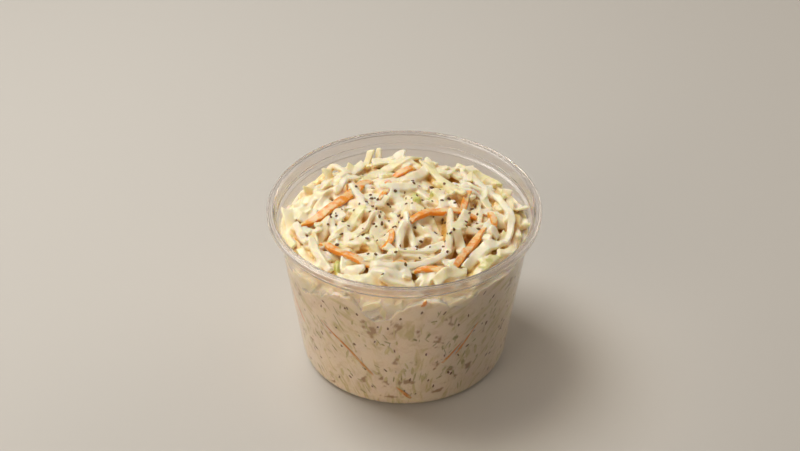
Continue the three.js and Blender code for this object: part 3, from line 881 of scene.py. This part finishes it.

# Mayonnaise dressing over cabbage: an opaque cream that light soaks into, wet and softly glossy, with
# painted shade, yellow and then ochre, down in the gaps, and pale green where leaf shows through.
BLOTCH_MM = 3.5
CURD_MM = 0.9
MARBLE_MM = 6
STRAND_MM = 1.9
dressing = new_material("mayonnaise_dressing")
place = add_node(dressing, "ShaderNodeTexCoord")
layers = ("green", "painted_shade", "wall", "grain")
green_layer, painted_shade_layer, wall_layer, grain_layer = [
    add_node(dressing, "ShaderNodeAttribute", attribute_name=layer) for layer in layers
]
blotch = add_node(
    dressing,
    "ShaderNodeTexNoise",
    {"Scale": 1 / (BLOTCH_MM * MM), "Detail": 3, "Roughness": 0.6},
    {"Vector": place.outputs["Object"]},
)
curd = add_node(
    dressing,
    "ShaderNodeTexNoise",
    {"Scale": 1 / (CURD_MM * MM), "Detail": 2},
    {"Vector": place.outputs["Object"]},
)
marble = add_node(
    dressing,
    "ShaderNodeTexNoise",
    {"Scale": 1 / (MARBLE_MM * MM), "Detail": 4, "Roughness": 0.65, "Distortion": 1.2},
    {"Vector": place.outputs["Object"]},
)
cream = add_node(
    dressing,
    "ShaderNodeMix",
    {6: linear("#FDF8EC"), 7: linear("#F7EAD0")},
    {0: blotch.outputs["Fac"]},
    data_type="RGBA",
)
bare = add_node(
    dressing,
    "ShaderNodeMapRange",
    {"From Min": 0.35, "From Max": 0.6, "To Min": 0.6, "To Max": 1.1},
    {"Value": blotch.outputs["Fac"]},
)
leaf = add_node(
    dressing,
    "ShaderNodeMath",
    {},
    {0: green_layer.outputs["Fac"], 1: bare.outputs["Result"]},
    operation="MULTIPLY",
)
deep_leaf = add_node(
    dressing, "ShaderNodeMapRange", {"From Min": 0.65, "From Max": 1.1}, {"Value": leaf.outputs["Value"]}
)
deep_painted_shade = add_node(
    dressing,
    "ShaderNodeMapRange",
    {"From Min": 0.55, "From Max": 1.1},
    {"Value": painted_shade_layer.outputs["Fac"]},
)
# Laid over the cream of the heap in turn: pale leaf, green leaf, and painted shade in the gaps, yellow then
# ochre in the deep ones
tints = [("#DFDB9F", leaf.outputs["Value"]), ("#BCC268", deep_leaf.outputs["Result"])]
tints += [("#EAC268", painted_shade_layer.outputs["Fac"]), ("#C28A38", deep_painted_shade.outputs["Result"])]
heap_colour = cream
for tint, share in tints:
    under = {0: share, 6: heap_colour.outputs[2]}
    heap_colour = add_node(dressing, "ShaderNodeMix", {7: linear(tint)}, under, data_type="RGBA")
streaks = add_node(
    dressing, "ShaderNodeMapRange", {"From Min": 0.5, "From Max": 0.7}, {"Value": marble.outputs["Fac"]}
)
pressed_cream = add_node(
    dressing,
    "ShaderNodeMix",
    {6: linear("#F6E9D7"), 7: linear("#E6D6BA")},
    {0: streaks.outputs["Result"]},
    data_type="RGBA",
)
strand = add_node(
    dressing,
    "ShaderNodeTexNoise",
    {"Scale": 1 / STRAND_MM, "Detail": 2, "Roughness": 0.55, "Distortion": 0.5},
    {"Vector": grain_layer.outputs["Vector"]},
)
strand_shows = add_node(
    dressing,
    "ShaderNodeMapRange",
    {"From Min": 0.54, "From Max": 0.68, "To Max": 0.8},
    {"Value": strand.outputs["Fac"]},
)
# Laid over the pressed cream in turn: the strands of the shreds and the painted shade of the pockets
wall_colour = pressed_cream
for tint, share in [("#D3C88C", strand_shows.outputs["Result"]), ("#B79A78", painted_shade_layer.outputs["Fac"])]:
    under = {0: share, 6: wall_colour.outputs[2]}
    wall_colour = add_node(dressing, "ShaderNodeMix", {7: linear(tint)}, under, data_type="RGBA")
slaw_colour = add_node(
    dressing,
    "ShaderNodeMix",
    {},
    {0: wall_layer.outputs["Fac"], 6: heap_colour.outputs[2], 7: wall_colour.outputs[2]},
    data_type="RGBA",
)
wet = add_node(
    dressing, "ShaderNodeMapRange", {"To Min": 0.2, "To Max": 0.38}, {"Value": blotch.outputs["Fac"]}
)
wet_or_wall = add_node(
    dressing,
    "ShaderNodeMath",
    {},
    {0: wet.outputs["Result"], 1: wall_layer.outputs["Fac"]},
    operation="MAXIMUM",
)
curd_bump = add_node(
    dressing, "ShaderNodeBump", {"Strength": 0.12, "Distance": 0.25 * MM}, {"Height": curd.outputs["Fac"]}
)
cream_skin = add_node(
    dressing,
    "ShaderNodeBsdfPrincipled",
    {
        "IOR": 1.45,
        "Subsurface Weight": 0.9,
        "Subsurface Radius": (1, 0.75, 0.3),
        "Subsurface Scale": 2.2 * MM,
    },
    {
        "Base Color": slaw_colour.outputs[2],
        "Roughness": wet_or_wall.outputs["Value"],
        "Normal": curd_bump.outputs["Normal"],
    },
)
add_node(dressing, "ShaderNodeOutputMaterial", {}, {"Surface": cream_skin.outputs["BSDF"]})
packed.data.materials.append(dressing)
slaw.data.materials.append(dressing)

# The carrot: julienned root, sunk in the dressing and partly smeared with it. A few shreds lie against
# the wall and show through the plastic as thin lines.
# Shreds at the wall by degrees from the front and height, from end to end, and the width that shows
WALL_CARROTS = [
    ((-44, 41.4), (-29, 31.9), (-16, 18.3), 1.8),
    ((37.6, 43.8), (32, 36.5), (25.9, 28.2), 1.5),
    ((29.7, 35.9), (24.5, 30.5), (19.4, 25.3), 1.2),
    ((-4.5, 12.6), (-0.5, 9), (3.6, 5.1), 2.2),
    ((9.5, 65), (8.8, 63.3), (8, 61.5), 2.2),
    ((-70, 44), (-66, 36), (-60, 30), 1.4),
    ((75, 22), (82, 30), (92, 34), 1.5),
    ((118, 50), (126, 42), (131, 33), 1.4),
    ((165, 20), (176, 26), (188, 27), 1.7),
    ((210, 48), (217, 39), (228, 33), 1.5),
    ((246, 14), (254, 20), (259, 29), 1.6),
]
WALL_CARROT_THICKNESS = 0.6
WALL_SHOW = 0.2
WALL_TAPER = 0.4
WALL_STATIONS = 40


def on_wall(angle, height, proud):
    """A point just proud of the slaw's side, against the inside of the cup."""
    return around(inside_radius(height) + PRESS + proud, angle, height)


carrots_on_top = len(carrots)
for *ends, width in WALL_CARROTS:
    bearings, heights = np.array(ends).T
    share = np.linspace(0, 2, WALL_STATIONS)
    angle = np.radians(np.interp(share, [0, 1, 2], bearings) - 90)
    line = on_wall(angle, np.interp(share, [0, 1, 2], heights), WALL_SHOW - WALL_CARROT_THICKNESS / 2)
    line = evened(line, 30)
    width = width * np.linspace(WALL_TAPER, 1, WALL_STATIONS)[:, None]
    outwards, rolls = around(1, angle, 0), np.zeros(WALL_STATIONS)
    carrots.append(strip(line, outwards, rolls, width, WALL_CARROT_THICKNESS, twist=0, bluntness=0.8))
carrot_points, carrot_faces = joined(carrots)
carrot = new_piece("carrot_shreds", carrot_points, carrot_faces)
carrot.data.set_sharp_from_angle(angle=math.radians(35))
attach(carrot, "root")
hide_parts("coleslaw")

# Raw carrot flesh: bright orange and moist, with paler fibres along each shred, and cream smears where
# dressing clings. The fibres follow a grain kept for each point: along, around and which shred.
# The film lies on the section's upper corners, from right round to left, and creeps up from the slaw.
FILM = (0.5, 0.7, 0.5, 0.1, 0, 0, 0, 0, 0, 0.1)
FILM_SHARE = 0.35
WALL_FILM = 0.25
END_FILM = 0.6
CREEP_MM = 0.7
SMEAR_MM = 3
FIBRE_MM = 0.8
FIBRE_STRETCH = 0.12
SHRED_STEP = 5.0
grain, film = [], []
for number, (points, faces) in enumerate(carrots):
    stations = np.repeat(np.arange(len(points) // SECTION), SECTION) * STATION_MM * FIBRE_STRETCH
    turns = np.tile(np.arange(SECTION), len(points) // SECTION) * 2 * np.pi / SECTION
    across = np.sin(turns) * CARROT_WIDTH[1] / 2
    grain.append(np.column_stack([stations, across, np.full(len(points), SHRED_STEP * number)]))
    if number < carrots_on_top:
        film.append(np.tile(FILM, len(points) // SECTION))
    else:
        film.append(WALL_FILM + END_FILM * np.linspace(-1, 1, len(points)) ** 4)
add_layer(carrot, "grain", np.vstack(grain))
heap_faces = [tuple(polygon.vertices) for polygon in slaw.data.polygons]
heap_tree = BVHTree.FromPolygons([Vector(point) for point in slaw_points], heap_faces)
away = np.array([heap_tree.find_nearest(Vector(point))[3] for point in carrot_points])
add_layer(carrot, "film", np.maximum(np.concatenate(film), 1 - smooth_step(away, 0.1, CREEP_MM)))
carrot_flesh = new_material("raw_carrot")
place = add_node(carrot_flesh, "ShaderNodeTexCoord")
grain_layer = add_node(carrot_flesh, "ShaderNodeAttribute", attribute_name="grain")
smear = add_node(
    carrot_flesh,
    "ShaderNodeTexNoise",
    {"Scale": 1 / (SMEAR_MM * MM), "Detail": 4, "Roughness": 0.6},
    {"Vector": place.outputs["Object"]},
)
fibre = add_node(
    carrot_flesh,
    "ShaderNodeTexNoise",
    {"Scale": 1 / FIBRE_MM, "Detail": 3},
    {"Vector": grain_layer.outputs["Vector"]},
)
flesh = add_node(
    carrot_flesh,
    "ShaderNodeMix",
    {6: linear("#F48C1C"), 7: linear("#F8AE54")},
    {0: fibre.outputs["Fac"]},
    data_type="RGBA",
)
film_layer = add_node(carrot_flesh, "ShaderNodeAttribute", attribute_name="film")
cling = add_node(
    carrot_flesh,
    "ShaderNodeMath",
    {1: FILM_SHARE},
    {0: film_layer.outputs["Fac"], 2: smear.outputs["Fac"]},
    operation="MULTIPLY_ADD",
)
smeared = add_node(
    carrot_flesh,
    "ShaderNodeMapRange",
    {"From Min": 0.6, "From Max": 0.78, "To Max": 0.85},
    {"Value": cling.outputs["Value"]},
)
carrot_colour = add_node(
    carrot_flesh,
    "ShaderNodeMix",
    {7: linear("#FADDB6")},
    {0: smeared.outputs["Result"], 6: flesh.outputs[2]},
    data_type="RGBA",
)
fibre_bump = add_node(
    carrot_flesh,
    "ShaderNodeBump",
    {"Strength": 0.3, "Distance": 0.2 * MM},
    {"Height": fibre.outputs["Fac"]},
)
carrot_skin = add_node(
    carrot_flesh,
    "ShaderNodeBsdfPrincipled",
    {
        "IOR": 1.4,
        "Roughness": 0.35,
        "Subsurface Weight": 0.85,
        "Subsurface Radius": (1, 0.6, 0.15),
        "Subsurface Scale": 2.2 * MM,
    },
    {"Base Color": carrot_colour.outputs[2], "Normal": fibre_bump.outputs["Normal"]},
)
add_node(carrot_flesh, "ShaderNodeOutputMaterial", {}, {"Surface": carrot_skin.outputs["BSDF"]})
carrot.data.materials.append(carrot_flesh)

# The leaf at the wall: thin bits of outer cabbage leaf, pressed flat between the dressing and the plastic.
# Their tips point the way that the slaw slid in, down towards the front and the back of the cup.
# Larger bits by degrees from the front, height, length, width, lean in degrees and how dark they are
WALL_LEAVES = [(25, 39, 5, 3.6, 40, 0.8), (31, 22, 4.6, 2.6, 80, 0.5), (24, 21, 3, 2.2, 20, 0.9)]
WALL_LEAVES += [(13.5, 51.7, 4.6, 1.5, 0, 0.7), (11, 43.7, 6, 1.2, 65, 0.8), (5, 42, 3.4, 1.8, -35, 0.9)]
WALL_LEAVES += [(-8, 40, 9, 1.3, -22, 0.6), (-35, 42, 3, 1.4, -60, 0.3), (-30, 17, 3.6, 1.6, -40, 0.3)]
LEAF_COUNT = 480
LEAF_LENGTH = (2, 8)
LEAF_WIDTH = (0.5, 1.6)
PALE_WIDTH = 1.5
LEAF_EDGE = 0.3
LEAF_RING = 14
LEAF_LOW = 6
LEAF_TOP = 0.97
LEAF_BELOW = 3
PALER = 1.4
BIT_RAGGED = (0.75, 1.2)
BIT_EDGE = -0.02
BIT_BACK = -0.1
LEAN_STRAY = 0.4


def wall_bit(bearing, height, length, width, lean, ring, proud=0.06):
    """Points and faces of a thin flat bit against the wall, uneven in outline and leaning to one side."""
    turns = np.arange(ring) * 2 * np.pi / ring
    size = draws.uniform(*BIT_RAGGED, ring)
    along, across = np.cos(turns) * size * length / 2, np.sin(turns) * size * width / 2
    aside = along * math.cos(lean) - across * math.sin(lean)
    rise = along * math.sin(lean) + across * math.cos(lean)
    angle = math.radians(bearing - 90)
    edge = on_wall(angle + aside / inside_radius(height), height + rise, BIT_EDGE)
    crown = on_wall(angle, height, np.array([proud, BIT_BACK]))
    faces = [(ring, i, (i + 1) % ring) for i in range(ring)]
    faces += [(ring + 1, (i + 1) % ring, i) for i in range(ring)]
    return np.vstack([edge, crown]), faces


def slide_lean(bearing):
    """How bits lean at a bearing: down towards the front seen from either side."""
    return math.pi / 2 - SLIDE_LEAN * math.sin(math.radians(bearing)) + draws.normal(0, LEAN_STRAY)


leaves, darkness = [], []
for bearing, height, length, width, lean, dark in WALL_LEAVES:
    leaves.append(wall_bit(bearing, height, length, width, math.radians(lean), LEAF_RING))
    darkness.append(dark)
for index in range(LEAF_COUNT):
    bearing = math.degrees(index * GOLDEN_ANGLE) % 360
    height = draws.uniform(LEAF_LOW, LEAF_TOP * touch_level(math.radians(bearing - 90)) - LEAF_BELOW)
    dark = draws.uniform() ** PALER
    length, width = draws.uniform(*LEAF_LENGTH), draws.uniform(*LEAF_WIDTH) * (PALE_WIDTH - dark)
    leaves.append(wall_bit(bearing, height, length, width, slide_lean(bearing), LEAF_RING))
    darkness.append(dark)
leaf_bits = new_piece("cabbage_leaf_bits", *joined(leaves))
leaf_bits.data.shade_flat()
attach(leaf_bits, "root")
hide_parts("coleslaw")
add_layer(leaf_bits, "dark", np.outer(darkness, [LEAF_EDGE] * LEAF_RING + [1, 1]).ravel())

# Raw cabbage leaf behind a film of dressing: pale yellow-green to olive, with softer paler veins.
VEIN_MM = 1.2
leaf_skin = new_material("raw_cabbage_leaf")
place = add_node(leaf_skin, "ShaderNodeTexCoord")
dark_layer = add_node(leaf_skin, "ShaderNodeAttribute", attribute_name="dark")
vein = add_node(
    leaf_skin,
    "ShaderNodeTexNoise",
    {"Scale": 1 / (VEIN_MM * MM), "Detail": 3},
    {"Vector": place.outputs["Object"]},
)
leaf_green = add_node(
    leaf_skin,
    "ShaderNodeMix",
    {6: linear("#DED29E"), 7: linear("#6C6624")},
    {0: dark_layer.outputs["Fac"]},
    data_type="RGBA",
)
veined = add_node(
    leaf_skin,
    "ShaderNodeMapRange",
    {"From Min": 0.45, "From Max": 0.7, "To Max": 0.5},
    {"Value": vein.outputs["Fac"]},
)
leaf_colour = add_node(
    leaf_skin,
    "ShaderNodeMix",
    {7: linear("#E4DCBB")},
    {0: veined.outputs["Result"], 6: leaf_green.outputs[2]},
    data_type="RGBA",
)
leaf_face = add_node(
    leaf_skin, "ShaderNodeBsdfPrincipled", {"Roughness": 0.6}, {"Base Color": leaf_colour.outputs[2]}
)
add_node(leaf_skin, "ShaderNodeOutputMaterial", {}, {"Surface": leaf_face.outputs["BSDF"]})
leaf_bits.data.materials.append(leaf_skin)

# The pepper: cracked peppercorns, ground coarse over the finished cup and also tossed in with the slaw.
# The flecks on top stick in the dressing, and those at the wall lie flat behind the plastic.
PEPPER_COUNT = 140
PEPPER_SIZE = (0.45, 0.85)
PEPPER_MIDDLE = np.array((-2, -9))
PEPPER_SPREAD = np.array((35, 32))
PEPPER_CROWDING = 0.6
PEPPER_STRAY = 2.5
PEPPER_CLUMP = 1.5
CLUMP_SHARE = 0.06
PEPPER_SHAPE = ((0.9, 0.55, 0.4), (1.4, 0.9, 0.6))
PEPPER_CRAG = 0.28
PEPPER_RISE = 0.1
PEPPER_TONE = (0, 0.5)
WALL_PEPPER_COUNT = 150
WALL_PEPPER_LENGTH = (1.2, 2.8)
WALL_PEPPER_WIDTH = (0.7, 1.4)
WALL_PEPPER_RING = 8
WALL_PEPPER_LOW = 4.5
WALL_PEPPER_BELOW = 2
WALL_PEPPER_TONE = (0.2, 1)
fleck_ball = turned([(np.sin(t), -np.cos(t)) for t in np.linspace(0, np.pi, 6)], 7)
flecks, tones = [], []
spot = PEPPER_MIDDLE
for index in range(PEPPER_COUNT):
    if draws.uniform() < CLUMP_SHARE:
        spot = spot + draws.normal(0, PEPPER_CLUMP, 2)
    else:
        angle = index * GOLDEN_ANGLE
        share = ((index + 0.5) / PEPPER_COUNT) ** PEPPER_CROWDING
        spot = PEPPER_MIDDLE + PEPPER_SPREAD * share * (math.cos(angle), math.sin(angle))
        spot = spot + draws.normal(0, PEPPER_STRAY, 2)
    hit = heap_tree.ray_cast(Vector((*spot, 2 * CUP_HEIGHT)), Vector((0, 0, -1)))
    half = draws.uniform(*PEPPER_SIZE) * draws.uniform(*PEPPER_SHAPE)
    crag = 1 + draws.uniform(-PEPPER_CRAG, PEPPER_CRAG, (len(fleck_ball[0]), 1))
    turn = np.array(hit[1].to_track_quat("Z", "Y").to_matrix())
    spin = np.array(Matrix.Rotation(draws.uniform(0, FULL_TURN), 3, "Z"))
    points = (fleck_ball[0] * crag * half) @ (turn @ spin).T
    points += np.array(hit[0]) + PEPPER_RISE * np.array(hit[1])
    flecks.append((points, fleck_ball[1]))
    tones.append(np.full(len(points), draws.uniform(*PEPPER_TONE)))
for index in range(WALL_PEPPER_COUNT):
    bearing = math.degrees(index * GOLDEN_ANGLE + 1) % 360
    highest = touch_level(math.radians(bearing - 90)) - WALL_PEPPER_BELOW
    height = draws.uniform(WALL_PEPPER_LOW, highest)
    length, width = draws.uniform(*WALL_PEPPER_LENGTH), draws.uniform(*WALL_PEPPER_WIDTH)
    lean = slide_lean(bearing)
    flecks.append(wall_bit(bearing, height, length, width, lean, WALL_PEPPER_RING, proud=0.1))
    tones.append(np.full(WALL_PEPPER_RING + 2, draws.uniform(*WALL_PEPPER_TONE)))
pepper = new_piece("cracked_pepper", *joined(flecks))
pepper.data.shade_flat()
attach(pepper, "root")
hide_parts("coleslaw")
add_layer(pepper, "tone", np.concatenate(tones))

# Cracked black peppercorn: near-black wrinkled skin with browner broken faces, softened to olive where
# a film of dressing lies over it.
HUSK_MM = 0.8
peppercorn = new_material("cracked_peppercorn")
place = add_node(peppercorn, "ShaderNodeTexCoord")
tone_layer = add_node(peppercorn, "ShaderNodeAttribute", attribute_name="tone")
husk = add_node(
    peppercorn,
    "ShaderNodeTexNoise",
    {"Scale": 1 / (HUSK_MM * MM), "Detail": 2},
    {"Vector": place.outputs["Object"]},
)
husk_colour = add_node(
    peppercorn,
    "ShaderNodeMix",
    {6: linear("#3A2410"), 7: linear("#8A6236")},
    {0: husk.outputs["Fac"]},
    data_type="RGBA",
)
filmed = add_node(
    peppercorn,
    "ShaderNodeMix",
    {7: linear("#7A5222")},
    {0: tone_layer.outputs["Fac"], 6: husk_colour.outputs[2]},
    data_type="RGBA",
)
husk_skin = add_node(
    peppercorn, "ShaderNodeBsdfPrincipled", {"Roughness": 0.6}, {"Base Color": filmed.outputs[2]}
)
add_node(peppercorn, "ShaderNodeOutputMaterial", {}, {"Surface": husk_skin.outputs["BSDF"]})
pepper.data.materials.append(peppercorn)

# The floor and the light: a plain pale floor, one large soft lamp above and behind to the left, a weaker
# fill from the front left, and one from the back right, so that no side is left dark.
FLOOR_HALF = 3000
corners = [(-1, -1, 0), (1, -1, 0), (1, 1, 0), (-1, 1, 0)]
floor = new_piece("floor", FLOOR_HALF * np.array(corners), [(0, 1, 2, 3)])
pale_paint = new_material("pale_matt_paint")
paint = {"Base Color": linear("#CAC8C6"), "Roughness": 0.6}
painted = add_node(pale_paint, "ShaderNodeBsdfPrincipled", paint)
add_node(pale_paint, "ShaderNodeOutputMaterial", {}, {"Surface": painted.outputs["BSDF"]})
floor.data.materials.append(pale_paint)


def add_lamp(name, place, aim, size, watts, colour):
    """A square soft lamp that looks at a point. Places and sizes are in metres."""
    lamp = bpy.data.lights.new(name, "AREA")
    lamp.size = size
    lamp.energy = watts
    lamp.color = linear(colour)[:3]
    holder = bpy.data.objects.new(name, lamp)
    holder.location = place
    holder.rotation_euler = (Vector(aim) - Vector(place)).to_track_quat("-Z", "Y").to_euler()
    bpy.context.scene.collection.objects.link(holder)


add_lamp("key", (-0.35, 0.25, 0.8), (0, 0, 0.06), 0.45, 6, "#FFFBF2")
add_lamp("fill", (-0.8, -0.9, 0.5), (0, 0, 0.04), 0.7, 4, "#FFEBD2")
add_lamp("back fill", (0.9, 0.6, 0.45), (0, 0, 0.04), 0.7, 2.5, "#FFF1DE")
world = bpy.data.worlds.new("studio")
bpy.context.scene.world = world
world.use_nodes = True
world.node_tree.nodes["Background"].inputs["Color"].default_value = linear("#F6E8D4")
world.node_tree.nodes["Background"].inputs["Strength"].default_value = 0.2
bpy.context.scene.view_settings.view_transform = "Standard"

# The camera: a long lens that looks down on the cup from the front. Its place and its lens are fitted to
# the rim, the base and the sides of the cup, as they lie in the photograph's frame.
CAMERA_DISTANCE = 686.9
CAMERA_RISE = 36.57
AIM_HEIGHT = 63.28
ASIDE = -1.82
FRAME_PIXELS = 800
LENS_PIXELS = 1600
SENSOR = 36
lens = bpy.data.cameras.new("camera")
lens.sensor_width = SENSOR
lens.lens = SENSOR * LENS_PIXELS / FRAME_PIXELS
camera = bpy.data.objects.new("camera", lens)
rise = math.radians(CAMERA_RISE)
camera.location = (
    ASIDE * MM,
    -CAMERA_DISTANCE * math.cos(rise) * MM,
    (AIM_HEIGHT + CAMERA_DISTANCE * math.sin(rise)) * MM,
)
camera.rotation_euler = (math.pi / 2 - rise, 0, 0)
bpy.context.scene.collection.objects.link(camera)
bpy.context.scene.camera = camera
